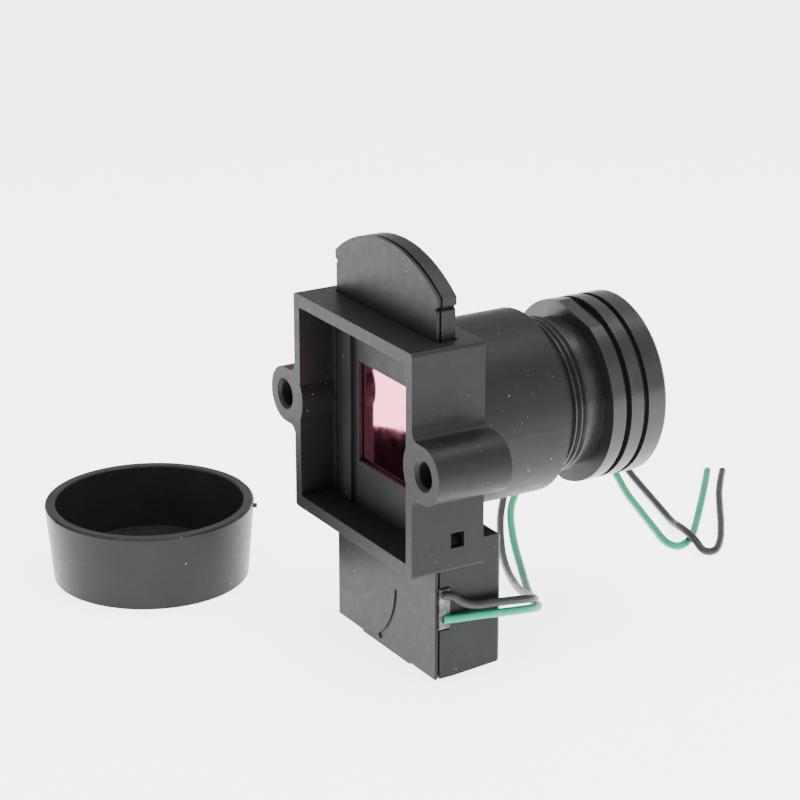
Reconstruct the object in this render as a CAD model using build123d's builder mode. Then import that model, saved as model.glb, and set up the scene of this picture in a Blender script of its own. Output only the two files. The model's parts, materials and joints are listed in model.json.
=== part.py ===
from build123d import *
import os
from math import cos, pi, radians, sin, sqrt, tan

os.makedirs("parts", exist_ok=True)

# Lens holder with a built-in infrared-cut filter switcher, its board lens, its two coil wires and
# the lens's loose cap. X runs across, Y along the optical axis towards the front of the lens, Z up.
# The origin is where the optical axis meets the face that seats on the circuit board.

# Lens holder
holder_width = 17.0
holder_height = 16.9
holder_depth = 6.0
holder_side_wall = 0.85
holder_end_wall = 1.0
holder_corner = 0.3
screw_pitch = 20.0
screw_hole_d = 1.9
screw_mouth_d = 2.4
screw_hole_depth = 5.2
ear_d = 4.3
ear_root_fillet = 0.7
ear_bulge = 0.35
latch_hole_width = 1.1
latch_hole_height = 1.15
latch_clearance = 0.05
latch_overlap = 0.1
latch_end_gap = 0.45
slot_wall = 1.2
latch_hole_z = -6.1

# Lens tube of the holder
tube_wall = 0.97
tube_end_y = 14.7
tube_rim_chamfer = 0.3
thread_d = 12.0
thread_pitch = 0.5
thread_depth = 0.26
thread_clearance = 0.08

# Flat part of the filter switcher, which passes through the holder
switcher_y = 2.85
flat_thickness = 1.55
cover_thickness = 0.22
seam_gap = 0.18
seam_depth = 0.2
slot_side_clearance = 0.25
slot_face_clearance = 0.1
crown_headroom = 1.65
crown_rise = 2.5
crown_lug = 0.15
crown_lug_height = 0.6
crown_notch = 0.2
crown_wall = 0.45
seating_rib_x = 5.1
seating_rib_width = 1.2
seating_rib_height = 0.35
window_width = 7.7
window_height = 7.8
light_bore_d = 8.4

# Filters and the slide that carries them
filter_size = 7.8
filter_thickness = 0.4
filter_bar = 0.4
filter_fit = 0.02
slide_side_border = 1.0
slide_end_border = 0.35
slide_thickness = 0.6
slide_face_clearance = 0.05
slide_side_clearance = 0.1
slide_lip = 0.15
slide_lip_width = 0.2

# Motor housing of the switcher
housing_height = 9.05
housing_drop = 5.05
housing_rake = 0.3
housing_wall = 0.6
housing_floor = 0.35
housing_roof = 0.4
housing_depth = 5.7
housing_round = 0.45
holder_gap = 0.05
step_height = 1.4
step_clearance = 0.08
foot_half_width = 3.4
foot_height = 0.15
notch_height = 3.4
notch_depth = 1.0
notch_offset = 0.1
notch_wall = 0.45

# Drive lever, magnet and coil
pivot_inset = 2.95
lever_half_swing = 50.0
lever_thickness = 0.3
lever_hub_d = 2.6
lever_hub_length = 0.75
lever_tip_rim = 0.07
lever_root_d = 1.9
lever_gap = 0.08
tip_window_width = 3.9
pin_d = 0.7
pin_slot_clearance = 0.25
pin_face_clearance = 0.1
tail_rim = 0.25
tail_side_rim = 0.6
tail_clearance = 0.1
shaft_d = 0.8
shaft_clearance = 0.03
shaft_seat = 0.3
magnet_d = 3.4
magnet_length = 2.2
magnet_air_gap = 0.35
yoke_arm = 1.0
yoke_thickness = 1.6
yoke_leg = 1.2
yoke_leg_inset = 2.65
yoke_fit = 0.03
yoke_arm_overlap = 0.1
bobbin_wall = 0.25
bobbin_flange = 0.3
bobbin_half_width = 1.85
bobbin_half_depth = 1.3
winding_inset = 0.12
terminal_d = 0.35
terminal_block = 0.6
terminal_pitch = 1.5
terminal_setback = 0.45
groove_width = 0.45
groove_depth = 0.1
groove_offset = 0.3
groove_end_angle = 56.0

# Board lens: threaded barrel, grooved head and the glass inside
barrel_rear_y = 6.9
head_back_y = 18.2
head_d = 14.0
ring_1_length = 1.15
groove_1_length = 0.5
ring_2_length = 1.1
groove_2_length = 0.45
ring_3_length = 1.75
groove_1_d = 12.8
groove_2_d = 13.1
head_round = 0.25
flat_depth = 0.33
flat_angle = 76.5
head_wall = 1.55
front_chamber_length = 3.55
retainer_ledge = 0.2
retainer_length = 0.8
retainer_recess = 0.2
retainer_hole_d = 8.8
retainer_slot = 0.7
barrel_wall = 1.1
rear_retainer_length = 0.7
rear_retainer_hole_d = 6.6
thread_land = 0.1
thread_relief = 0.9
glass_clearance = 0.05
front_edge = 1.3
front_dome = 0.85
front_hollow = 1.0
front_hollow_d = 7.6
spacer_wall = 0.7
middle_edge = 1.0
middle_dome = 0.8
stop_thickness = 0.2
stop_hole_d = 3.6
stop_gap = 0.3
doublet_edge = 1.2
doublet_dome = 0.7
flint_edge = 1.3
flint_hollow = 0.25

# Loose lens cap, lying open side up beside the holder
cap_x = -22.2
cap_y = -5.8
cap_base_d = 15.5
cap_rim_d = 16.6
cap_height = 6.1
cap_wall = 0.85
cap_floor = 1.0
cap_rim_round = 0.15
cap_bump_d = 0.9
cap_bump_height = 0.35
cap_nib = 0.45
cap_nib_angle = 59.0
cap_bump_reach = 5.2
cap_bump_angle = 59.0

# Wires
wire_d = 0.62
wire_crossing_gap = 0.1
arc_share = 0.45
climb = 0.1
glue_bulge = 0.15
glue_margin = 0.05
glue_round = 0.3

# Worked out from the sizes above
half_pitch = screw_pitch / 2
half_height = holder_height / 2
tube_d = thread_d + 2 * tube_wall
flat_half_width = holder_width / 2 - slot_wall - slot_side_clearance
step_top_z = -half_height + step_height
cover_rear_y = switcher_y + cover_thickness
flat_rear_y = switcher_y + flat_thickness
slot_front_y = switcher_y - slot_face_clearance / 2
slot_rear_y = flat_rear_y + slot_face_clearance
slot_half_width = flat_half_width + slot_side_clearance
lug_half_width = flat_half_width + crown_lug
latch_y = cover_rear_y + seam_gap + latch_hole_width / 2
bore_r = thread_d / 2 + thread_clearance / 2
thread_crest_r = thread_d / 2 - thread_clearance / 2
thread_root_r = thread_crest_r - thread_depth
rear_chamber_d = 2 * (thread_root_r - barrel_wall)
front_chamber_d = head_d - 2 * head_wall
retainer_d = front_chamber_d + 2 * retainer_ledge

channel_rear_y = cover_rear_y + slide_thickness + 2 * slide_face_clearance
slide_front_y = cover_rear_y + slide_face_clearance
slide_rear_y = slide_front_y + slide_thickness
slide_half_width = filter_size / 2 + slide_side_border
channel_half_width = slide_half_width + slide_side_clearance
filter_pitch = filter_size + filter_bar
filter_rear_y = slide_rear_y - slide_lip
slide_top_z = filter_size / 2 + slide_end_border
slide_frame_bottom_z = slide_top_z - 2 * (filter_size + slide_end_border) - filter_bar
housing_bottom_z = min(-half_height - housing_height, slide_frame_bottom_z - housing_drop)
notch_reach = flat_half_width - channel_half_width - notch_wall

crown_top_z = slide_top_z + filter_pitch + crown_headroom
crown_shoulder_z = crown_top_z - crown_rise
crown_r = (lug_half_width**2 + crown_rise**2) / (2 * crown_rise)
crown_centre_z = crown_top_z - crown_r

housing_rear_y = switcher_y + housing_depth
housing_top_z = -half_height - holder_gap
cavity_top_z = housing_top_z - housing_roof
cavity_bottom_z = housing_bottom_z + housing_floor
cavity_rear_y = housing_rear_y - housing_wall
cavity_half_width = flat_half_width - housing_wall
cavity_height = cavity_top_z - cavity_bottom_z
cavity_middle_z = (cavity_top_z + cavity_bottom_z) / 2
step_front_y = holder_depth + step_clearance
surface_z = housing_bottom_z - foot_height

pivot_x = pivot_inset - flat_half_width
yoke_leg_x = flat_half_width - yoke_leg_inset
lever_reach = filter_pitch / (2 * sin(radians(lever_half_swing)))
slot_half_height = pin_d / 2 + pin_slot_clearance
tail_bottom_z = cavity_bottom_z + tail_clearance
pin_rest_z = tail_bottom_z + tail_rim + slot_half_height
pivot_z = pin_rest_z + filter_pitch / 2
notch_z = pivot_z + notch_offset
pin_rest_x = pivot_x + lever_reach * cos(radians(lever_half_swing))
pin_far_x = pivot_x + lever_reach
lever_front_y = slide_rear_y + lever_gap
lever_rear_y = lever_front_y + lever_thickness
hub_rear_y = lever_front_y + lever_hub_length
magnet_rear_y = hub_rear_y + magnet_length
lever_tip_r = pin_d / 2 + lever_tip_rim
tip_window_top_z = pin_rest_z + filter_pitch + lever_tip_r + tail_clearance
pin_slot_width = pin_far_x - pin_rest_x + pin_d + 2 * pin_slot_clearance
tail_width = pin_slot_width + 2 * tail_side_rim

yoke_middle_y = (hub_rear_y + magnet_rear_y) / 2
yoke_inner = magnet_d / 2 + yoke_arm_overlap
yoke_outer = yoke_inner + yoke_arm
pole_gap_r = magnet_d / 2 + magnet_air_gap
bobbin_length = 2 * yoke_inner - 2 * yoke_fit
terminal_x = yoke_leg_x + bobbin_half_width - terminal_block / 2
terminal_front_y = cover_rear_y + terminal_setback
terminal_places = [(terminal_x, pivot_z - terminal_pitch / 2), (terminal_x, pivot_z + terminal_pitch / 2)]
block_front_y = cover_rear_y + notch_depth
block_rear_y = yoke_middle_y - bobbin_half_depth + bobbin_wall
block_middle_y = (block_front_y + block_rear_y) / 2
winding_half_y = bobbin_half_depth - winding_inset

head_front_y = (
    head_back_y
    + ring_1_length
    + groove_1_length
    + ring_2_length
    + groove_2_length
    + ring_3_length
)
front_retainer_y = head_front_y - retainer_recess - retainer_length
front_shoulder_y = front_retainer_y - front_chamber_length
rear_retainer_y = barrel_rear_y + rear_retainer_length


def across(y):
    """Plane across the optical axis, X right and Z up; what is extruded from it runs to the board."""
    return Plane.XZ.offset(-y)


def write(part, name):
    """Label one finished piece and write it to its own file."""
    part.label = name
    export_step(part, f"parts/{name}.step")


# ---- lens holder -------------------------------------------------------------------------------
with BuildPart() as lens_holder:
    with BuildSketch(across(holder_depth)):
        Rectangle(holder_width, holder_height)
    extrude(amount=holder_depth)
    fillet(lens_holder.edges().filter_by(Axis.Y), radius=holder_corner)
    with BuildSketch(across(holder_depth)):
        with Locations((-half_pitch, 0), (half_pitch, 0)):
            Circle(ear_d / 2)
        Rectangle(screw_pitch, ear_d)
    extrude(amount=holder_depth)
    ear_roots = (
        lens_holder.edges()
        .filter_by(Axis.Y)
        .filter_by(lambda e: abs(abs(e.center().X) - holder_width / 2) < 0.01)
        .filter_by(lambda e: abs(abs(e.center().Z) - ear_d / 2) < 0.01)
    )
    fillet(ear_roots, radius=ear_root_fillet)
    with BuildSketch(across(tube_end_y)):
        Circle(tube_d / 2)
    extrude(amount=tube_end_y - holder_depth)
    tube_rim = lens_holder.faces().sort_by(Axis.Y)[-1].edges().filter_by(GeomType.CIRCLE)
    chamfer(tube_rim, length=tube_rim_chamfer)
    with BuildSketch(across(switcher_y)):
        Rectangle(holder_width - 2 * holder_side_wall, holder_height - 2 * holder_end_wall)
    extrude(amount=switcher_y, mode=Mode.SUBTRACT)
    with BuildSketch(across(switcher_y)):
        with Locations((-half_pitch, 0), (half_pitch, 0)):
            Circle(half_pitch - holder_width / 2 + holder_side_wall + ear_bulge)
        Rectangle(holder_width - holder_side_wall, holder_height, mode=Mode.INTERSECT)
    extrude(amount=switcher_y)
    with BuildSketch(across(slot_rear_y)):
        Rectangle(2 * slot_half_width, holder_height)
    extrude(amount=slot_rear_y - slot_front_y, mode=Mode.SUBTRACT)
    with BuildSketch(across(tube_end_y)):
        Circle(bore_r)
    extrude(amount=tube_end_y - slot_rear_y, mode=Mode.SUBTRACT)
    bore_mouth = lens_holder.faces().sort_by(Axis.Y)[-1].edges().sort_by(SortBy.RADIUS)[0]
    chamfer(bore_mouth, length=tube_rim_chamfer)
    for ear_x in (-half_pitch, half_pitch):
        with Locations(Plane(origin=(ear_x, 0, 0), z_dir=(0, -1, 0))):
            CounterSinkHole(screw_hole_d / 2, screw_mouth_d / 2, screw_hole_depth, counter_sink_angle=90)
    with BuildSketch(Plane.YZ):
        with Locations((latch_y, latch_hole_z)):
            Rectangle(latch_hole_width, latch_hole_height)
    extrude(amount=holder_width, both=True, mode=Mode.SUBTRACT)
write(lens_holder.part, "lens_holder")


# ---- filter switcher: cover and case -----------------------------------------------------------
def casing_outline(inset=0.0):
    """Front outline of the switcher: straight sides, small lugs and a round crown."""
    side = flat_half_width - inset
    lug = lug_half_width - inset
    lug_z = crown_shoulder_z - crown_lug_height
    notch_low_z = lug_z - 2 * crown_notch
    left = [
        (-side, housing_bottom_z + inset),
        (-side, notch_low_z),
        (-side + crown_notch, lug_z - crown_notch),
        (-lug, lug_z),
        (-lug, crown_shoulder_z),
    ]
    right = [(-x, z) for x, z in reversed(left)]
    with BuildSketch() as outline:
        with BuildLine():
            Polyline(*left)
            ThreePointArc(left[-1], (0, crown_top_z - inset), right[0])
            Polyline(*right)
            Line(right[-1], left[0])
        make_face()
    return outline.sketch


outer_outline = casing_outline()
seam_outline = casing_outline(seam_depth)

groove_centre = (pivot_x, pivot_z - groove_offset)
with BuildPart() as switcher_cover:
    with BuildSketch(across(cover_rear_y)):
        add(outer_outline)
        with Locations((0, housing_bottom_z)):
            Rectangle(2 * foot_half_width, 2 * foot_height)
        Rectangle(window_width, window_height, mode=Mode.SUBTRACT)
    extrude(amount=cover_thickness)
    with BuildSketch(across(switcher_y)):
        with Locations((-seating_rib_x, 0), (seating_rib_x, 0)):
            Rectangle(seating_rib_width, holder_height - 2 * holder_end_wall - 2 * slot_face_clearance)
    extrude(amount=seating_rib_height)
    with BuildSketch(across(switcher_y + groove_depth)):
        with BuildLine(Plane.XY) as groove_path:
            CenterArc(groove_centre, lever_reach + groove_offset, -groove_end_angle, groove_end_angle)
        trace(groove_path.line, groove_width)
    extrude(amount=groove_depth, mode=Mode.SUBTRACT)
write(switcher_cover.part, "switcher_cover")

latch_root_x = flat_half_width - latch_overlap
latch_low_z = latch_hole_z - latch_hole_height / 2 + latch_clearance
latch_rear_y = min(latch_y + latch_hole_width / 2 - latch_clearance, flat_rear_y)
with BuildPart() as switcher_case:
    with BuildSketch(across(flat_rear_y)):
        add(outer_outline)
    extrude(amount=flat_thickness - cover_thickness - seam_gap)
    with BuildSketch(across(cover_rear_y + seam_gap)):
        add(seam_outline)
    extrude(amount=seam_gap)
    with BuildSketch(Plane.YZ.offset(-flat_half_width)):
        with BuildLine():
            Polyline(
                (flat_rear_y, housing_bottom_z),
                (housing_rear_y, housing_bottom_z + housing_rake),
                (housing_rear_y, step_top_z),
                (step_front_y, step_top_z),
                (step_front_y, housing_top_z),
                (flat_rear_y, housing_top_z),
                close=True,
            )
        make_face()
    extrude(amount=2 * flat_half_width)
    rear_edges = switcher_case.faces().sort_by(Axis.Y)[-1].edges()
    fillet(rear_edges, radius=housing_round)
    for side in (-1, 1):
        with BuildSketch(across(latch_rear_y)):
            with BuildLine():
                Polyline(
                    (side * latch_root_x, latch_low_z),
                    (side * (holder_width / 2 - latch_end_gap), latch_low_z),
                    (side * latch_root_x, latch_low_z + latch_hole_height - latch_clearance),
                    close=True,
                )
            make_face()
        extrude(amount=latch_rear_y - cover_rear_y - seam_gap)
    # Channel for the slide: straight sides under a crown parallel to the outside.
    with BuildSketch(across(channel_rear_y)):
        with Locations((0, crown_centre_z)):
            Circle(crown_r - crown_wall)
        with Locations((0, crown_centre_z)):
            Rectangle(2 * channel_half_width, 2 * crown_r, mode=Mode.INTERSECT)
        with Locations((0, (cavity_bottom_z + crown_centre_z) / 2)):
            Rectangle(2 * channel_half_width, crown_centre_z - cavity_bottom_z)
    extrude(amount=channel_rear_y - cover_rear_y, mode=Mode.SUBTRACT)
    # Room for the motor, and above it the window that the lever's tip swings into.
    with BuildSketch(across(cavity_rear_y)):
        with Locations((0, cavity_middle_z)):
            Rectangle(2 * cavity_half_width, cavity_height)
    extrude(amount=cavity_rear_y - channel_rear_y, mode=Mode.SUBTRACT)
    with BuildSketch(across(flat_rear_y)):
        with Locations((pin_rest_x, cavity_top_z)):
            Rectangle(tip_window_width, 2 * (tip_window_top_z - cavity_top_z))
        Circle(light_bore_d / 2)
    extrude(amount=flat_rear_y - channel_rear_y, mode=Mode.SUBTRACT)
    with BuildSketch(Plane.YZ.offset(flat_half_width)):
        with Locations((cover_rear_y + notch_depth / 2, notch_z)):
            Rectangle(notch_depth, notch_height)
    extrude(amount=-notch_reach, mode=Mode.SUBTRACT)
    with BuildSketch(across(housing_rear_y - shaft_seat)):
        with Locations((pivot_x, pivot_z)):
            Circle(shaft_d / 2)
    extrude(amount=housing_wall, mode=Mode.SUBTRACT)
write(switcher_case.part, "switcher_case")


# ---- filters and slide -------------------------------------------------------------------------
with BuildPart() as filter_slide:
    with BuildSketch(across(slide_rear_y)):
        with Locations((0, (slide_top_z + slide_frame_bottom_z) / 2)):
            RectangleRounded(2 * slide_half_width, slide_top_z - slide_frame_bottom_z, slide_side_border)
        with Locations(((pin_rest_x + pin_far_x) / 2, (slide_frame_bottom_z + tail_bottom_z) / 2)):
            Rectangle(tail_width, slide_frame_bottom_z - tail_bottom_z)
        with Locations(((pin_rest_x + pin_far_x) / 2, pin_rest_z)):
            Rectangle(pin_slot_width, 2 * slot_half_height, mode=Mode.SUBTRACT)
    extrude(amount=slide_thickness)
    for centre_z in (0, -filter_pitch):
        with BuildSketch(across(slide_rear_y)):
            with Locations((0, centre_z)):
                Rectangle(filter_size - 2 * slide_lip_width, filter_size - 2 * slide_lip_width)
        extrude(amount=slide_thickness, mode=Mode.SUBTRACT)
        with BuildSketch(across(filter_rear_y)):
            with Locations((0, centre_z)):
                Rectangle(filter_size + 2 * filter_fit, filter_size + 2 * filter_fit)
        extrude(amount=slide_thickness, mode=Mode.SUBTRACT)
write(filter_slide.part, "filter_slide")

filter_places = {"ir_cut_filter": 0.0, "clear_filter": -filter_pitch}
for filter_name, filter_z in filter_places.items():
    with BuildPart() as filter_glass:
        with BuildSketch(across(filter_rear_y)):
            with Locations((0, filter_z)):
                Rectangle(filter_size, filter_size)
        extrude(amount=filter_thickness)
    write(filter_glass.part, filter_name)


# ---- drive lever, magnet, shaft and coil -------------------------------------------------------
with BuildPart() as drive_lever:
    with BuildSketch(across(lever_rear_y)):
        with BuildLine():
            Polyline(
                (0, lever_root_d / 2),
                (lever_reach, lever_tip_r),
                (lever_reach, -lever_tip_r),
                (0, -lever_root_d / 2),
                close=True,
            )
        make_face()
        Circle(lever_hub_d / 2)
        with Locations((lever_reach, 0)):
            Circle(lever_tip_r)
    extrude(amount=lever_thickness)
    with BuildSketch(across(hub_rear_y)):
        Circle(lever_hub_d / 2)
    extrude(amount=lever_hub_length)
    with BuildSketch(across(lever_front_y)):
        with Locations((lever_reach, 0)):
            Circle(pin_d / 2)
    extrude(amount=lever_front_y - cover_rear_y - pin_face_clearance)
    with BuildSketch(across(hub_rear_y)):
        Circle(shaft_d / 2 + shaft_clearance)
    extrude(amount=hub_rear_y, mode=Mode.SUBTRACT)
lever_at_rest = Pos(pivot_x, 0, pivot_z) * Rot(0, lever_half_swing, 0) * drive_lever.part
write(lever_at_rest, "drive_lever")

with BuildPart() as rotor_magnet:
    with BuildSketch(across(magnet_rear_y)):
        with Locations((pivot_x, pivot_z)):
            Circle(magnet_d / 2)
            Circle(shaft_d / 2 + shaft_clearance, mode=Mode.SUBTRACT)
    extrude(amount=magnet_length)
write(rotor_magnet.part, "rotor_magnet")

with BuildPart() as rotor_shaft:
    with BuildSketch(across(housing_rear_y - shaft_seat)):
        with Locations((pivot_x, pivot_z)):
            Circle(shaft_d / 2)
    extrude(amount=housing_rear_y - shaft_seat - lever_front_y)
    chamfer(rotor_shaft.faces().sort_by(Axis.Y)[0].edges(), length=shaft_d / 8)
write(rotor_shaft.part, "rotor_shaft")

with BuildPart() as coil_yoke:
    yoke_left_x = pivot_x - magnet_d / 2
    yoke_right_x = yoke_leg_x + yoke_leg / 2
    with BuildSketch(across(yoke_middle_y + yoke_thickness / 2)):
        with Locations(((yoke_left_x + yoke_right_x) / 2, pivot_z)):
            Rectangle(yoke_right_x - yoke_left_x, 2 * yoke_outer)
        with Locations(((yoke_left_x + yoke_right_x) / 2 - yoke_leg, pivot_z)):
            Rectangle(yoke_right_x - yoke_left_x, 2 * yoke_inner, mode=Mode.SUBTRACT)
        with Locations((pivot_x, pivot_z)):
            Circle(pole_gap_r, mode=Mode.SUBTRACT)
    extrude(amount=yoke_thickness)
write(coil_yoke.part, "coil_yoke")


def around_leg(half_x, half_y):
    """Rectangle around the yoke's leg, in a plane across Z."""
    with Locations((yoke_leg_x, yoke_middle_y)):
        Rectangle(2 * half_x, 2 * half_y)


leg_half_x = yoke_leg / 2 + yoke_fit
leg_half_y = yoke_thickness / 2 + yoke_fit
with BuildPart() as coil_bobbin:
    with BuildSketch(Plane.XY.offset(pivot_z - bobbin_length / 2)):
        around_leg(leg_half_x + bobbin_wall, leg_half_y + bobbin_wall)
    extrude(amount=bobbin_length)
    for flange_z in (-bobbin_length / 2, bobbin_length / 2 - bobbin_flange):
        with BuildSketch(Plane.XY.offset(pivot_z + flange_z)):
            around_leg(bobbin_half_width, bobbin_half_depth)
        extrude(amount=bobbin_flange)
    with BuildSketch(Plane.XY.offset(pivot_z - bobbin_length / 2)):
        with Locations((terminal_x, block_middle_y)):
            Rectangle(terminal_block, block_rear_y - block_front_y)
    extrude(amount=bobbin_length)
    with BuildSketch(Plane.XY.offset(pivot_z - bobbin_length / 2)):
        around_leg(leg_half_x, leg_half_y)
    extrude(amount=bobbin_length, mode=Mode.SUBTRACT)
    with BuildSketch(across(block_rear_y)):
        with Locations(*terminal_places):
            Circle(terminal_d / 2)
    extrude(amount=block_rear_y - block_front_y, mode=Mode.SUBTRACT)
write(coil_bobbin.part, "coil_bobbin")

with BuildPart() as coil_winding:
    with BuildSketch(Plane.XY.offset(pivot_z - bobbin_length / 2 + bobbin_flange)):
        around_leg(bobbin_half_width - winding_inset - terminal_block, winding_half_y)
        around_leg(leg_half_x + bobbin_wall, leg_half_y + bobbin_wall)
    extrude(amount=bobbin_length - 2 * bobbin_flange)
    fillet(coil_winding.edges().filter_by(Axis.Z), radius=winding_inset)
    with BuildSketch(Plane.XY.offset(pivot_z - bobbin_length / 2)):
        around_leg(leg_half_x + bobbin_wall, leg_half_y + bobbin_wall)
    extrude(amount=bobbin_length, mode=Mode.SUBTRACT)
write(coil_winding.part, "coil_winding")

with BuildPart() as coil_terminals:
    with BuildSketch(across(block_rear_y)):
        with Locations(*terminal_places):
            Circle(terminal_d / 2)
    extrude(amount=block_rear_y - terminal_front_y)
write(coil_terminals.part, "coil_terminals")


# ---- wire glue and wires -----------------------------------------------------------------------
glue_front_y = cover_rear_y + glue_margin
glue_rear_y = cover_rear_y + notch_depth - glue_margin
with BuildPart() as wire_glue:
    with BuildSketch(across(glue_rear_y)):
        with Locations((flat_half_width + glue_bulge - notch_reach / 2, notch_z)):
            RectangleRounded(notch_reach, notch_height - 2 * glue_margin, glue_round)
        with Locations(*terminal_places):
            Circle(terminal_d / 2, mode=Mode.SUBTRACT)
    extrude(amount=glue_rear_y - glue_front_y)
write(wire_glue.part, "wire_glue")

rest_z = surface_z + wire_d / 2
over_z = rest_z + wire_d + wire_crossing_gap
black_points = [
    (7.2, 3.4, -10.85),
    (7.5, 3.95, -10.75),
    (7.7, 4.7, -11.5),
    (7.7, 5.9, -12.0),
    (7.75, 7.6, -12.1),
    (7.75, 9.3, -12.3),
    (7.4, 11.1, -12.7),
    (6.1, 12.2, -13.5),
    (3.8, 13.2, -14.4),
    (1.1, 14.3, -15.3),
    (-2.2, 15.8, -16.2),
    (-5.9, 17.5, -16.8),
    (-9.7, 19.5, -17.2),
    (-13.4, 21.7, rest_z),
    (-17.0, 24.0, rest_z),
    (-20.6, 26.7, rest_z),
    (-24.6, 29.6, rest_z),
    (-28.2, 33.4, rest_z),
    (-30.2, 37.8, rest_z),
    (-28.4, 41.4, rest_z),
    (-24.4, 41.0, rest_z),
    (-20.0, 39.3, rest_z),
    (-15.7, 37.9, rest_z),
    (-11.6, 36.6, rest_z),
    (-8.2, 35.4, rest_z + climb),
    (-5.9, 34.5, over_z),
    (-3.3, 34.0, over_z),
    (-1.9, 33.8, rest_z + climb),
    (-1.6, 34.9, rest_z),
    (-3.2, 36.6, rest_z),
    (-5.9, 38.7, rest_z),
    (-9.4, 41.2, rest_z),
    (-12.7, 43.6, rest_z),
    (-15.9, 46.4, rest_z),
]
green_points = [
    (7.2, 3.5, -12.75),
    (7.5, 4.4, -12.75),
    (7.65, 6.0, -12.8),
    (7.8, 7.7, -12.95),
    (7.8, 9.5, -13.15),
    (7.4, 11.1, -13.5),
    (6.1, 12.6, -14.2),
    (3.6, 13.8, -15.1),
    (0.6, 15.3, -15.9),
    (-2.9, 17.2, -16.5),
    (-6.8, 19.3, -16.9),
    (-10.6, 21.3, -17.2),
    (-14.5, 23.5, rest_z),
    (-18.2, 25.8, rest_z),
    (-21.7, 28.9, rest_z),
    (-25.0, 32.0, rest_z),
    (-27.4, 35.6, rest_z),
    (-26.6, 38.8, rest_z),
    (-23.4, 39.4, rest_z),
    (-19.8, 37.9, rest_z),
    (-16.1, 36.2, rest_z),
    (-12.0, 34.8, rest_z),
    (-8.2, 33.5, rest_z),
    (-5.3, 32.5, rest_z),
    (-3.9, 32.7, rest_z),
    (-4.3, 34.1, rest_z),
    (-5.8, 35.8, rest_z),
    (-8.6, 38.3, rest_z),
    (-12.4, 41.7, rest_z),
    (-16.6, 45.3, rest_z),
]


def bend_radii(points):
    """Largest arc that fits at each inner point of a route."""
    radii = []
    for before, here, after in zip(points, points[1:], points[2:]):
        arriving = Vector(*here) - Vector(*before)
        leaving = Vector(*after) - Vector(*here)
        turn = radians(arriving.get_angle(leaving))
        radii.append(arc_share * min(arriving.length, leaving.length) / tan(turn / 2))
    return radii


for wire_name, points in {"wire_black": black_points, "wire_green": green_points}.items():
    radii = bend_radii(points)
    with BuildPart() as wire:
        with BuildLine() as wire_path:
            FilletPolyline(*points, radius=radii)
        with BuildSketch(Plane(origin=wire_path.line @ 0, z_dir=wire_path.line % 0)):
            Circle(wire_d / 2)
        sweep()
    length = sum(edge.length for edge in wire_path.edges())
    section = pi * wire_d**2 / 4
    volume_ratio = wire.part.volume / section / length
    print(wire_name, "length", round(length, 2), "volume ratio", round(volume_ratio, 4))
    print(wire_name, "radii", [round(radius, 1) for radius in radii])
    write(wire.part, wire_name)


# ---- board lens: barrel and rings --------------------------------------------------------------
def turned(outline):
    """Solid of revolution about the optical axis from (radius, distance) points."""
    with BuildPart(mode=Mode.PRIVATE) as piece:
        with BuildSketch(Plane.XY):
            with BuildLine():
                Polyline(*outline, close=True)
            make_face()
        revolve(axis=Axis.Y)
    return piece.part


head_r = head_d / 2
groove_1_y = head_back_y + ring_1_length
ring_2_y = groove_1_y + groove_1_length
groove_2_y = ring_2_y + ring_2_length
ring_3_y = groove_2_y + groove_2_length
thread_start_y = barrel_rear_y + thread_pitch
thread_turns = int((head_back_y - thread_relief - thread_start_y) / thread_pitch)
thread_outline = []
for turn in range(thread_turns):
    turn_y = thread_start_y + turn * thread_pitch
    thread_outline.append((thread_root_r, turn_y))
    thread_outline.append((thread_crest_r, turn_y + thread_pitch / 2 - thread_land / 2))
    thread_outline.append((thread_crest_r, turn_y + thread_pitch / 2 + thread_land / 2))
barrel_outline = [
    (rear_chamber_d / 2, barrel_rear_y),
    (thread_root_r, barrel_rear_y),
    *thread_outline,
    (thread_root_r, thread_start_y + thread_turns * thread_pitch),
    (thread_root_r, head_back_y),
    (head_r, head_back_y),
    (head_r, groove_1_y),
    (groove_1_d / 2, groove_1_y),
    (groove_1_d / 2, ring_2_y),
    (head_r, ring_2_y),
    (head_r, groove_2_y),
    (groove_2_d / 2, groove_2_y),
    (groove_2_d / 2, ring_3_y),
    (head_r, ring_3_y),
    (head_r, head_front_y - head_round),
    (head_r - head_round, head_front_y),
    (retainer_d / 2, head_front_y),
    (retainer_d / 2, front_retainer_y),
    (front_chamber_d / 2, front_retainer_y),
    (front_chamber_d / 2, front_shoulder_y),
    (rear_chamber_d / 2, front_shoulder_y),
]
with BuildPart() as lens_barrel:
    with BuildSketch(Plane.XY):
        with BuildLine():
            Polyline(*barrel_outline, close=True)
        make_face()
    revolve(axis=Axis.Y)
    # Two wrench flats on the ring next to the thread.
    with BuildSketch(across(groove_1_y)):
        for side_angle in (flat_angle, flat_angle + 180):
            with PolarLocations(head_r - flat_depth + head_r / 2, 1, start_angle=side_angle):
                Rectangle(head_r, head_d)
    extrude(amount=ring_1_length, mode=Mode.SUBTRACT)
write(lens_barrel.part, "lens_barrel")

with BuildPart() as front_retaining_ring:
    with BuildSketch(across(front_retainer_y + retainer_length)):
        Circle(retainer_d / 2)
        Circle(retainer_hole_d / 2, mode=Mode.SUBTRACT)
    extrude(amount=retainer_length)
    inner_rim = front_retaining_ring.faces().sort_by(Axis.Y)[-1].edges().sort_by(SortBy.RADIUS)[0]
    chamfer(inner_rim, length=retainer_length / 2)
    with BuildSketch(across(front_retainer_y + retainer_length)):
        Rectangle(retainer_d, retainer_slot)
    extrude(amount=retainer_length / 2, mode=Mode.SUBTRACT)
write(front_retaining_ring.part, "front_retaining_ring")

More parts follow.
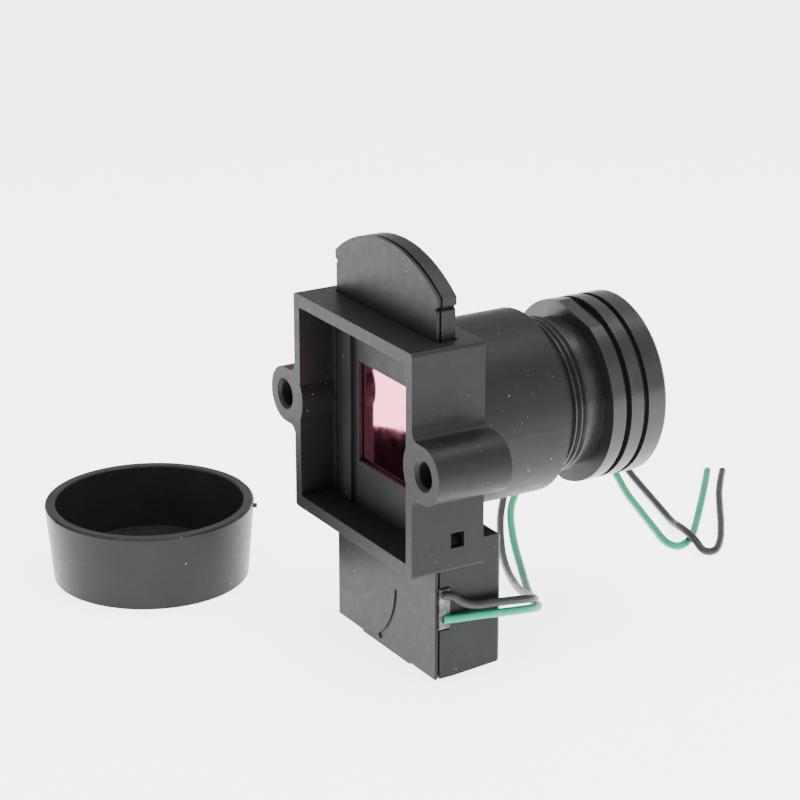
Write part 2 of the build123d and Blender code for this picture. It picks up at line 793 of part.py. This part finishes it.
with BuildPart() as rear_retaining_ring:
    with BuildSketch(across(rear_retainer_y)):
        Circle(rear_chamber_d / 2)
        Circle(rear_retainer_hole_d / 2, mode=Mode.SUBTRACT)
    extrude(amount=rear_retainer_length)
    with BuildSketch(across(barrel_rear_y + rear_retainer_length / 2)):
        Rectangle(rear_chamber_d, retainer_slot)
    extrude(amount=rear_retainer_length, mode=Mode.SUBTRACT)
write(rear_retaining_ring.part, "rear_retaining_ring")


# ---- board lens: glass and spacers, stacked from the rear --------------------------------------
rear_glass_r = rear_chamber_d / 2 - glass_clearance
front_glass_r = front_chamber_d / 2 - glass_clearance
flint_rear_y = rear_retainer_y + glass_clearance
crown_rear_y = flint_rear_y + flint_edge
crown_front_y = crown_rear_y + doublet_edge
stop_rear_y = crown_front_y + stop_gap
stop_front_y = stop_rear_y + stop_thickness
front_edge_y = front_retainer_y - glass_clearance
front_seat_y = front_edge_y - front_edge
front_spacer_y = front_shoulder_y + glass_clearance
middle_rear_y = stop_front_y + middle_dome + stop_gap
middle_front_y = middle_rear_y + middle_edge


def dome_height(x, bulge, clear_r):
    """Height of a spherical dome over its edge plane, at a distance from the axis."""
    sphere_r = (clear_r**2 + bulge**2) / (2 * abs(bulge))
    height = sqrt(sphere_r**2 - x**2) - sphere_r + abs(bulge)
    return height if bulge > 0 else -height


def lens_element(radius, rear_y, front_y, bulges, clear_r):
    """Round glass with a flat edge; a positive bulge stands out of it, a negative one is hollow."""
    rear_bulge, front_bulge = bulges
    dome_x = (0, clear_r / 2, clear_r)
    front_dome_points = [(x, front_y + dome_height(x, front_bulge, clear_r)) for x in dome_x]
    rear_dome_points = [(x, rear_y - dome_height(x, rear_bulge, clear_r)) for x in dome_x]
    with BuildPart(mode=Mode.PRIVATE) as element:
        with BuildSketch(Plane.XY):
            with BuildLine():
                Line(rear_dome_points[0], front_dome_points[0])
                ThreePointArc(*front_dome_points)
                Polyline((clear_r, front_y), (radius, front_y), (radius, rear_y), (clear_r, rear_y))
                ThreePointArc(*reversed(rear_dome_points))
            make_face()
        revolve(axis=Axis.Y)
    return element.part


def spacer_ring(radius, rear_y, front_y):
    """Plain spacer between two pieces of glass."""
    inner_r = radius - spacer_wall
    return turned([(inner_r, rear_y), (radius, rear_y), (radius, front_y), (inner_r, front_y)])


clear_r = rear_glass_r - spacer_wall
rear_bulges = (doublet_dome, doublet_dome / 2)
rear_crown = lens_element(rear_glass_r, crown_rear_y, crown_front_y, rear_bulges, clear_r)
flint_bulges = (-flint_hollow, -doublet_dome)
rear_flint = lens_element(rear_glass_r, flint_rear_y, crown_rear_y, flint_bulges, clear_r)
write(rear_crown, "rear_crown_element")
write(rear_flint, "rear_flint_element")
write(spacer_ring(rear_glass_r, crown_front_y, stop_rear_y), "rear_spacer")
aperture_outline = [
    (stop_hole_d / 2, stop_rear_y),
    (rear_glass_r, stop_rear_y),
    (rear_glass_r, stop_front_y),
    (stop_hole_d / 2, stop_front_y),
]
write(turned(aperture_outline), "aperture_stop")
write(spacer_ring(rear_glass_r, stop_front_y, middle_rear_y), "stop_spacer")
middle_bulges = (middle_dome, middle_dome)
middle_element = lens_element(rear_glass_r, middle_rear_y, middle_front_y, middle_bulges, clear_r)
write(middle_element, "middle_element")
write(spacer_ring(rear_glass_r, middle_front_y, front_spacer_y), "middle_spacer")
write(spacer_ring(front_glass_r, front_spacer_y, front_seat_y), "front_spacer")
front_bulges = (-front_hollow, front_dome)
front_element = lens_element(front_glass_r, front_seat_y, front_edge_y, front_bulges, front_hollow_d / 2)
write(front_element, "front_element")


# ---- lens cap ----------------------------------------------------------------------------------
cap_axis = Axis((cap_x, cap_y, surface_z), (0, 0, 1))
cap_plane = Plane(origin=(cap_x, cap_y, surface_z), x_dir=(1, 0, 0), z_dir=(0, -1, 0))
with BuildPart() as lens_cap:
    with BuildSketch(cap_plane):
        with BuildLine():
            Polyline(
                (0, 0),
                (cap_base_d / 2, 0),
                (cap_rim_d / 2, cap_height),
                (cap_rim_d / 2 - cap_wall, cap_height),
                (cap_base_d / 2 - cap_wall, cap_floor),
                (0, cap_floor),
                close=True,
            )
        make_face()
    revolve(axis=cap_axis)
    rim_edges = lens_cap.faces().sort_by(Axis.Z)[-1].edges()
    fillet(rim_edges, radius=cap_rim_round)
    with BuildSketch(Plane.XY.offset(surface_z + cap_floor)):
        with Locations((cap_x, cap_y)):
            with PolarLocations(cap_bump_reach, 2, start_angle=cap_bump_angle):
                Circle(cap_bump_d / 2)
    extrude(amount=cap_bump_height)
    with BuildSketch(Plane.XY.offset(surface_z + cap_height - cap_rim_round - cap_nib)):
        with Locations((cap_x, cap_y)):
            with PolarLocations(cap_rim_d / 2, 1, start_angle=cap_nib_angle):
                Rectangle(cap_nib, cap_nib)
    extrude(amount=cap_nib / 2)
write(lens_cap.part, "lens_cap")
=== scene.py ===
import json
from math import cos, radians, sin

import bpy
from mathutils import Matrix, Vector


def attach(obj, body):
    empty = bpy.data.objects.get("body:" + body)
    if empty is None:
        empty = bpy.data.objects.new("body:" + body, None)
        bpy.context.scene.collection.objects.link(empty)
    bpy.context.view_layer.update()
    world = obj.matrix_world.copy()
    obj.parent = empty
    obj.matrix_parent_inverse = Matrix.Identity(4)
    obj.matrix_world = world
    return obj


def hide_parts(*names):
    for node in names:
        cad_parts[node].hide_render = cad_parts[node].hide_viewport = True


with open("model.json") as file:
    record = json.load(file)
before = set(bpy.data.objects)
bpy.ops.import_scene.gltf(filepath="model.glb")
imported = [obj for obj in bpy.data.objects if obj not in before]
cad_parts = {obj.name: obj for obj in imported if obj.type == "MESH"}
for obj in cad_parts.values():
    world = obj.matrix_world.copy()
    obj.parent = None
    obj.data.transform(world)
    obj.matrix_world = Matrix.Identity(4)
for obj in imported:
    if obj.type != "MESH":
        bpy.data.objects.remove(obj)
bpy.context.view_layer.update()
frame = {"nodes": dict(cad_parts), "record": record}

MM = 0.001
nodes = frame["nodes"]


# ---- camera and light ---------------------------------------------------------------------------
CAMERA_PLACE = Vector((159.2, -90.8, 67.8)) * MM
CAMERA_TURN = radians(59.2)
CAMERA_DROP = radians(19.6)
CAMERA_LENS = 121.6
SENSOR_WIDTH = 36.0
CLIP_START = 0.001
WORLD_STRENGTH = 0.85
# name, place, aim, size in millimetres and power in watts
SOFT_BOXES = [
    ("top_box", (10, 20, 190), (0, 8, 0), 170, 0.62),
    ("right_box", (190, 60, 90), (0, 8, -4), 120, 0.2),
    ("front_box", (-40, -190, 70), (0, 4, -4), 120, 0.1),
]


def make_camera():
    """Camera at the photograph's angle and distance."""
    data = bpy.data.cameras.new("camera")
    data.lens = CAMERA_LENS
    data.sensor_width = SENSOR_WIDTH
    data.clip_start = CLIP_START
    camera = bpy.data.objects.new("camera", data)
    bpy.context.collection.objects.link(camera)
    camera.location = CAMERA_PLACE
    level = cos(CAMERA_DROP)
    sight = Vector((-sin(CAMERA_TURN) * level, cos(CAMERA_TURN) * level, -sin(CAMERA_DROP)))
    camera.rotation_euler = sight.to_track_quat("-Z", "Y").to_euler()
    bpy.context.scene.camera = camera


def area_light(name, place, aim, size, power):
    """Large soft box, placed and aimed in millimetres."""
    data = bpy.data.lights.new(name, "AREA")
    data.size = size * MM
    data.energy = power
    light = bpy.data.objects.new(name, data)
    bpy.context.collection.objects.link(light)
    light.location = Vector(place) * MM
    direction = (Vector(aim) - Vector(place)).normalized()
    light.rotation_euler = direction.to_track_quat("-Z", "Y").to_euler()


def make_light():
    """Light tent: bright even surroundings with soft boxes above and to the sides."""
    world = bpy.data.worlds.new("tent")
    world.use_nodes = True
    background = world.node_tree.nodes["Background"]
    background.inputs["Color"].default_value = (1.0, 1.0, 1.0, 1.0)
    background.inputs["Strength"].default_value = WORLD_STRENGTH
    bpy.context.scene.world = world
    for name, place, aim, size, power in SOFT_BOXES:
        area_light(name, place, aim, size, power)


make_camera()
make_light()


# ---- material helpers ---------------------------------------------------------------------------
SPECK_FADE = 1.6
BEVEL_SAMPLES = 4


class Maker:
    """Short names for building one node material."""

    def __init__(self, name):
        self.material = bpy.data.materials.new(name)
        self.material.use_nodes = True
        self.tree = self.material.node_tree
        self.shader = self.tree.nodes["Principled BSDF"]
        self.place = self.node("ShaderNodeTexCoord").outputs["Object"]

    def node(self, kind, **settings):
        made = self.tree.nodes.new(kind)
        for key, value in settings.items():
            setattr(made, key, value)
        return made

    def link(self, source, target):
        self.tree.links.new(source, target)

    def stretched(self, scale):
        """Object coordinates in millimetres, stretched by a scale for each axis."""
        mapping = self.node("ShaderNodeMapping")
        mapping.inputs["Scale"].default_value = [s / MM for s in scale]
        self.link(self.place, mapping.inputs["Vector"])
        return mapping.outputs["Vector"]

    def noise(self, scale, detail=3.0, rough=0.55):
        """Noise with features about 1/scale millimetres across."""
        texture = self.node("ShaderNodeTexNoise")
        scales = scale if isinstance(scale, tuple) else (scale, scale, scale)
        texture.inputs["Scale"].default_value = 1.0
        texture.inputs["Detail"].default_value = detail
        texture.inputs["Roughness"].default_value = rough
        self.link(self.stretched(scales), texture.inputs["Vector"])
        return texture.outputs["Fac"]

    def specks(self, spacing, size):
        """Small round specks: 1 inside a speck, 0 outside, about spacing millimetres apart."""
        texture = self.node("ShaderNodeTexVoronoi", feature="F1")
        texture.inputs["Scale"].default_value = 1.0
        density = 1.0 / spacing
        self.link(self.stretched((density, density, density)), texture.inputs["Vector"])
        edge = size / spacing
        stops = [(edge, 1.0), (SPECK_FADE * edge, 0.0)]
        return self.ramp(texture.outputs["Distance"], stops)

    def ramp(self, source, stops):
        """Values from a list of (position, grey or colour) stops."""
        ramp = self.node("ShaderNodeValToRGB")
        elements = ramp.color_ramp.elements
        while len(elements) < len(stops):
            elements.new(0.5)
        for element, (position, value) in zip(elements, stops):
            element.position = position
            grey = not isinstance(value, tuple)
            element.color = (value, value, value, 1.0) if grey else (*value, 1.0)
        self.link(source, ramp.inputs["Fac"])
        return ramp.outputs["Color"]

    def math(self, operation, first, second):
        """One math node on sockets or numbers."""
        node = self.node("ShaderNodeMath", operation=operation)
        for socket, value in zip(node.inputs, (first, second)):
            if isinstance(value, (int, float)):
                socket.default_value = value
            else:
                self.link(value, socket)
        return node.outputs["Value"]

    def mix(self, factor, first, second):
        """Colour mix; colours are sockets or tuples."""
        node = self.node("ShaderNodeMix", data_type="RGBA")
        self.link(factor, node.inputs["Factor"])
        for socket, value in ((node.inputs[6], first), (node.inputs[7], second)):
            if isinstance(value, tuple):
                socket.default_value = (*value, 1.0)
            else:
                self.link(value, socket)
        return node.outputs[2]

    def bump(self, height, distance, strength=1.0, below=None):
        """Bump of a height in millimetres, on top of another normal if there is one."""
        node = self.node("ShaderNodeBump")
        node.inputs["Strength"].default_value = strength
        node.inputs["Distance"].default_value = distance * MM
        self.link(height, node.inputs["Height"])
        if below is not None:
            self.link(below, node.inputs["Normal"])
        return node.outputs["Normal"]

    def soft_edges(self, radius):
        """Rounded look on sharp edges, as moulded and turned edges have."""
        node = self.node("ShaderNodeBevel", samples=BEVEL_SAMPLES)
        node.inputs["Radius"].default_value = radius * MM
        return node.outputs["Normal"]

    def set(self, **values):
        """Numbers and colours that are the same all over, set on the shader itself."""
        for key, value in values.items():
            self.shader.inputs[key.replace("_", " ")].default_value = value

    def feed(self, key, source):
        self.link(source, self.shader.inputs[key])


# ---- materials ----------------------------------------------------------------------------------
def moulded_black(name, dark, light, rough, grain, dust, edge=0.06):
    """Black moulded plastic: fine grain, uneven gloss, pale dust specks and softened edges."""
    maker = Maker(name)
    cloud = maker.noise(0.45, 4.0)
    body = maker.mix(cloud, dark, light)
    speck = maker.specks(1.5, 0.045)
    fleck = maker.specks(0.6, 0.02)
    marks = maker.math("MAXIMUM", speck, fleck)
    maker.feed("Base Color", maker.mix(maker.math("MULTIPLY", marks, dust), body, (0.2, 0.2, 0.2)))
    spread = maker.ramp(maker.noise(1.3, 5.0), [(0.25, rough - 0.06), (0.75, rough + 0.07)])
    maker.feed("Roughness", spread)
    normal = maker.bump(maker.noise(9.0, 4.0, 0.7), grain, 0.55, maker.soft_edges(edge))
    maker.feed("Normal", maker.bump(maker.math("MULTIPLY", marks, dust), 0.012, 0.6, normal))
    maker.set(Specular_IOR_Level=0.15, IOR=1.5)
    return maker.material


def anodised_black(name):
    """Black anodised turned metal: fine lathe lines around the lens and small pale scuffs."""
    maker = Maker(name)
    lathe = maker.noise((0.6, 26.0, 0.6), 3.0)
    cloud = maker.noise(0.8, 4.0)
    body = maker.mix(cloud, (0.007, 0.007, 0.0076), (0.014, 0.014, 0.0152))
    scuff = maker.math("MULTIPLY", maker.specks(0.9, 0.022), 0.6)
    maker.feed("Base Color", maker.mix(scuff, body, (0.34, 0.34, 0.34)))
    maker.feed("Roughness", maker.ramp(lathe, [(0.3, 0.22), (0.7, 0.38)]))
    maker.feed("Normal", maker.bump(lathe, 0.006, 0.6, maker.soft_edges(0.05)))
    maker.set(Specular_IOR_Level=0.28, IOR=1.55)
    return maker.material


def polythene_black(name):
    """Soft black cap plastic: satin gloss, faint ripple, dust and short scratches."""
    maker = Maker(name)
    cloud = maker.noise(0.35, 4.0)
    body = maker.mix(cloud, (0.011, 0.0113, 0.012), (0.017, 0.0173, 0.0185))
    dust = maker.math("MULTIPLY", maker.specks(1.9, 0.05), 0.45)
    maker.feed("Base Color", maker.mix(dust, body, (0.4, 0.4, 0.4)))
    ripple = maker.noise((0.5, 0.5, 2.5), 4.0)
    maker.feed("Roughness", maker.ramp(maker.noise(1.6, 5.0), [(0.3, 0.26), (0.7, 0.4)]))
    scratch = maker.noise((3.0, 3.0, 26.0), 2.0)
    normal = maker.bump(ripple, 0.03, 0.4, maker.soft_edges(0.08))
    maker.feed("Normal", maker.bump(scratch, 0.004, 0.5, normal))
    maker.set(Specular_IOR_Level=0.13, IOR=1.51)
    return maker.material


def dichroic_filter(name):
    """Infrared-cut filter: pink mirror coating with a little dust."""
    maker = Maker(name)
    cloud = maker.noise(0.5, 2.0)
    tint = maker.mix(cloud, (0.95, 0.30, 0.42), (0.85, 0.20, 0.34))
    dust = maker.math("MULTIPLY", maker.specks(1.5, 0.03), 0.6)
    maker.feed("Base Color", maker.mix(dust, tint, (0.9, 0.8, 0.8)))
    maker.feed("Roughness", maker.ramp(maker.noise(1.0, 4.0), [(0.3, 0.03), (0.8, 0.09)]))
    maker.feed("Normal", maker.bump(maker.noise(0.25, 2.0), 0.004, 0.3))
    maker.set(Metallic=1.0)
    return maker.material


def clear_glass(name, tint, rough=0.02):
    """Clear glass with a faint coating tint and a little dust."""
    maker = Maker(name)
    dust = maker.math("MULTIPLY", maker.specks(1.4, 0.025), 0.5)
    maker.feed("Base Color", maker.mix(dust, tint, (0.8, 0.8, 0.8)))
    maker.feed("Roughness", maker.ramp(maker.noise(0.9, 3.0), [(0.3, rough), (0.8, rough + 0.04)]))
    maker.feed("Normal", maker.bump(maker.noise(0.4, 2.0), 0.002, 0.3))
    maker.set(Transmission_Weight=0.92, IOR=1.52, Coat_Weight=0.3, Coat_Roughness=0.02)
    return maker.material


def coated_glass(name, body, film):
    """Lens glass seen from outside: opaque, with a dark base colour as painted shade for the unlit
    depth behind it, under a thin coating that tints its reflections.
    """
    maker = Maker(name)
    dust = maker.math("MULTIPLY", maker.specks(1.2, 0.02), 0.35)
    # painted shade: the near-black body colour stands in for the dark inside of the lens seen
    # through the glass
    maker.feed("Base Color", maker.mix(dust, body, (0.7, 0.7, 0.7)))
    maker.feed("Roughness", maker.ramp(maker.noise(0.8, 3.0), [(0.3, 0.02), (0.8, 0.05)]))
    maker.feed("Normal", maker.bump(maker.noise(0.4, 2.0), 0.002, 0.3))
    maker.set(IOR=1.7, Specular_IOR_Level=0.7, Specular_Tint=(*film, 1.0))
    maker.set(Coat_Weight=0.4, Coat_Roughness=0.01, Coat_Tint=(*film, 1.0))
    return maker.material


def plain_metal(name, dark, light, rough, lines):
    """Bare metal with grinding or winding lines."""
    maker = Maker(name)
    grain = maker.noise(lines, 4.0)
    maker.feed("Base Color", maker.mix(grain, dark, light))
    maker.feed("Roughness", maker.ramp(grain, [(0.3, rough - 0.08), (0.7, rough + 0.1)]))
    maker.feed("Normal", maker.bump(grain, 0.008, 0.6))
    maker.set(Metallic=1.0)
    return maker.material


def moulded_pale(name, dark, light, rough):
    """Pale engineering plastic with flow marks."""
    maker = Maker(name)
    maker.feed("Base Color", maker.mix(maker.noise((0.6, 0.6, 1.6), 4.0), dark, light))
    spread = maker.ramp(maker.noise(2.0, 4.0), [(0.3, rough - 0.08), (0.7, rough + 0.08)])
    maker.feed("Roughness", spread)
    maker.feed("Normal", maker.bump(maker.noise(7.0, 3.0), 0.008, 0.5))
    maker.set(Subsurface_Weight=0.15, Subsurface_Scale=0.0005)
    return maker.material


def set_glue(name):
    """Set glue: clear over black plastic, so dark, with milky patches and waves."""
    maker = Maker(name)
    stops = [(0.45, (0.02, 0.022, 0.021)), (0.75, (0.2, 0.21, 0.2))]
    maker.feed("Base Color", maker.ramp(maker.noise(1.1, 5.0), stops))
    maker.feed("Roughness", maker.ramp(maker.noise(2.5, 3.0), [(0.3, 0.08), (0.7, 0.28)]))
    maker.feed("Normal", maker.bump(maker.noise(1.3, 3.0), 0.25, 0.8))
    maker.set(Specular_IOR_Level=0.3, IOR=1.48, Coat_Weight=0.2, Coat_Roughness=0.06)
    return maker.material


def cable_skin(name, dark, light):
    """Soft PVC insulation: satin, with slow colour drift and fine drawn ripples."""
    maker = Maker(name)
    maker.feed("Base Color", maker.mix(maker.noise(0.35, 3.0), dark, light))
    maker.feed("Roughness", maker.ramp(maker.noise(1.8, 4.0), [(0.3, 0.3), (0.7, 0.46)]))
    maker.feed("Normal", maker.bump(maker.noise(4.0, 3.0), 0.012, 0.4))
    maker.set(Specular_IOR_Level=0.25, Subsurface_Weight=0.05, Subsurface_Scale=0.0003)
    return maker.material


def make_materials():
    """One material for each slot of the record."""
    return {
        "holder_black": moulded_black(
            "holder_black", (0.0066, 0.0068, 0.0074), (0.0115, 0.0118, 0.013), 0.42, 0.02, 0.8
        ),
        "switcher_black": moulded_black(
            "switcher_black", (0.0066, 0.0068, 0.0074), (0.0115, 0.0118, 0.013), 0.38, 0.014, 0.6
        ),
        "slide_black": moulded_black(
            "slide_black", (0.012, 0.012, 0.013), (0.02, 0.02, 0.021), 0.45, 0.008, 0.5
        ),
        "spacer_black": moulded_black(
            "spacer_black", (0.008, 0.008, 0.008), (0.014, 0.014, 0.014), 0.6, 0.006, 0.3
        ),
        "barrel_black": anodised_black("barrel_black"),
        "ring_black": anodised_black("ring_black"),
        "cap_black": polythene_black("cap_black"),
        "filter_red": dichroic_filter("filter_red"),
        "filter_clear": clear_glass("filter_clear", (0.86, 0.97, 0.93)),
        # lens_glass body colour is painted shade for the dark inside of the lens
        "lens_glass": coated_glass("lens_glass", (0.012, 0.014, 0.03), (0.10, 0.30, 0.22)),
        "lever_white": moulded_pale("lever_white", (0.62, 0.60, 0.55), (0.74, 0.72, 0.66), 0.4),
        "bobbin_amber": moulded_pale("bobbin_amber", (0.38, 0.21, 0.06), (0.5, 0.3, 0.1), 0.35),
        "magnet_grey": plain_metal(
            "magnet_grey", (0.42, 0.42, 0.43), (0.58, 0.58, 0.6), 0.28, 6.0
        ),
        "steel": plain_metal(
            "steel", (0.5, 0.5, 0.52), (0.68, 0.68, 0.7), 0.25, (2.0, 2.0, 18.0)
        ),
        "yoke_iron": plain_metal(
            "yoke_iron", (0.22, 0.22, 0.23), (0.36, 0.36, 0.37), 0.45, 5.0
        ),
        "copper": plain_metal(
            "copper", (0.5, 0.17, 0.07), (0.85, 0.38, 0.2), 0.3, (0.7, 0.7, 11.0)
        ),
        "solder_tin": plain_metal(
            "solder_tin", (0.55, 0.55, 0.55), (0.78, 0.78, 0.77), 0.25, 7.0
        ),
        "glue_clear": set_glue("glue_clear"),
        "wire_black_skin": cable_skin(
            "wire_black_skin", (0.011, 0.013, 0.013), (0.024, 0.027, 0.0265)
        ),
        "wire_green_skin": cable_skin(
            "wire_green_skin", (0.0, 0.20, 0.095), (0.004, 0.29, 0.15)
        ),
    }


materials = make_materials()
for part in frame["record"]["subparts"]:
    mesh = nodes[part["node"]].data
    mesh.materials.clear()
    mesh.materials.append(materials[part["material_slot"]])


# ---- wires --------------------------------------------------------------------------------------
WIRE_D = 0.62
CROSSING_GAP = 0.1
CLIMB = 0.1
CURVE_STEPS = 10
SKIN_STEPS = 6
SURFACE_Z = -17.65
REST_Z = SURFACE_Z + WIRE_D / 2
OVER_Z = REST_Z + WIRE_D + CROSSING_GAP
BLACK_POINTS = [
    (7.2, 3.4, -10.85),
    (7.5, 3.95, -10.75),
    (7.7, 4.7, -11.5),
    (7.7, 5.9, -12.0),
    (7.75, 7.6, -12.1),
    (7.75, 9.3, -12.3),
    (7.4, 11.1, -12.7),
    (6.1, 12.2, -13.5),
    (3.8, 13.2, -14.4),
    (1.1, 14.3, -15.3),
    (-2.2, 15.8, -16.2),
    (-5.9, 17.5, -16.8),
    (-9.7, 19.5, -17.2),
    (-13.4, 21.7, REST_Z),
    (-17.0, 24.0, REST_Z),
    (-20.6, 26.7, REST_Z),
    (-24.6, 29.6, REST_Z),
    (-28.2, 33.4, REST_Z),
    (-30.2, 37.8, REST_Z),
    (-28.4, 41.4, REST_Z),
    (-24.4, 41.0, REST_Z),
    (-20.0, 39.3, REST_Z),
    (-15.7, 37.9, REST_Z),
    (-11.6, 36.6, REST_Z),
    (-8.2, 35.4, REST_Z + CLIMB),
    (-5.9, 34.5, OVER_Z),
    (-3.3, 34.0, OVER_Z),
    (-1.9, 33.8, REST_Z + CLIMB),
    (-1.6, 34.9, REST_Z),
    (-3.2, 36.6, REST_Z),
    (-5.9, 38.7, REST_Z),
    (-9.4, 41.2, REST_Z),
    (-12.7, 43.6, REST_Z),
    (-15.9, 46.4, REST_Z),
]
GREEN_POINTS = [
    (7.2, 3.5, -12.75),
    (7.5, 4.4, -12.75),
    (7.65, 6.0, -12.8),
    (7.8, 7.7, -12.95),
    (7.8, 9.5, -13.15),
    (7.4, 11.1, -13.5),
    (6.1, 12.6, -14.2),
    (3.6, 13.8, -15.1),
    (0.6, 15.3, -15.9),
    (-2.9, 17.2, -16.5),
    (-6.8, 19.3, -16.9),
    (-10.6, 21.3, -17.2),
    (-14.5, 23.5, REST_Z),
    (-18.2, 25.8, REST_Z),
    (-21.7, 28.9, REST_Z),
    (-25.0, 32.0, REST_Z),
    (-27.4, 35.6, REST_Z),
    (-26.6, 38.8, REST_Z),
    (-23.4, 39.4, REST_Z),
    (-19.8, 37.9, REST_Z),
    (-16.1, 36.2, REST_Z),
    (-12.0, 34.8, REST_Z),
    (-8.2, 33.5, REST_Z),
    (-5.3, 32.5, REST_Z),
    (-3.9, 32.7, REST_Z),
    (-4.3, 34.1, REST_Z),
    (-5.8, 35.8, REST_Z),
    (-8.6, 38.3, REST_Z),
    (-12.4, 41.7, REST_Z),
    (-16.6, 45.3, REST_Z),
]


def make_wire(name, points, slot):
    """One coil wire on its route, with its skin's material."""
    curve = bpy.data.curves.new(name, "CURVE")
    curve.dimensions = "3D"
    curve.resolution_u = CURVE_STEPS
    curve.bevel_depth = WIRE_D / 2 * MM
    curve.bevel_resolution = SKIN_STEPS
    curve.use_fill_caps = True
    spline = curve.splines.new("NURBS")
    spline.points.add(len(points) - 1)
    for point, place in zip(spline.points, points):
        point.co = (*(Vector(place) * MM), 1.0)
    spline.use_endpoint_u = True
    spline.order_u = 3
    wire = bpy.data.objects.new(name, curve)
    bpy.context.collection.objects.link(wire)
    wire.data.materials.append(materials[slot])
    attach(wire, "holder")
    return wire


black_wire = make_wire("black_wire", BLACK_POINTS, "wire_black_skin")
green_wire = make_wire("green_wire", GREEN_POINTS, "wire_green_skin")
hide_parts("wire_black")
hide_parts("wire_green")


# ---- floor --------------------------------------------------------------------------------------
FLOOR_GLOW = 3.6
FLOOR_REACH = 1.5


def make_floor():
    """Pale sweep that the object stands on."""
    maker = Maker("floor_white")
    tone = maker.mix(maker.noise(0.02, 3.0), (0.93, 0.93, 0.93), (0.96, 0.96, 0.96))
    maker.feed("Base Color", tone)
    maker.feed("Roughness", maker.ramp(maker.noise(0.2, 3.0), [(0.3, 0.55), (0.7, 0.7)]))
    maker.set(Emission_Color=(1.0, 1.0, 1.0, 1.0), Emission_Strength=FLOOR_GLOW)
    mesh = bpy.data.meshes.new("floor")
    reach = FLOOR_REACH
    z = SURFACE_Z * MM
    corners = [(-reach, -reach, z), (reach, -reach, z), (reach, reach, z), (-reach, reach, z)]
    mesh.from_pydata(corners, [], [(0, 1, 2, 3)])
    mesh.materials.append(maker.material)
    floor = bpy.data.objects.new("floor", mesh)
    bpy.context.collection.objects.link(floor)


make_floor()
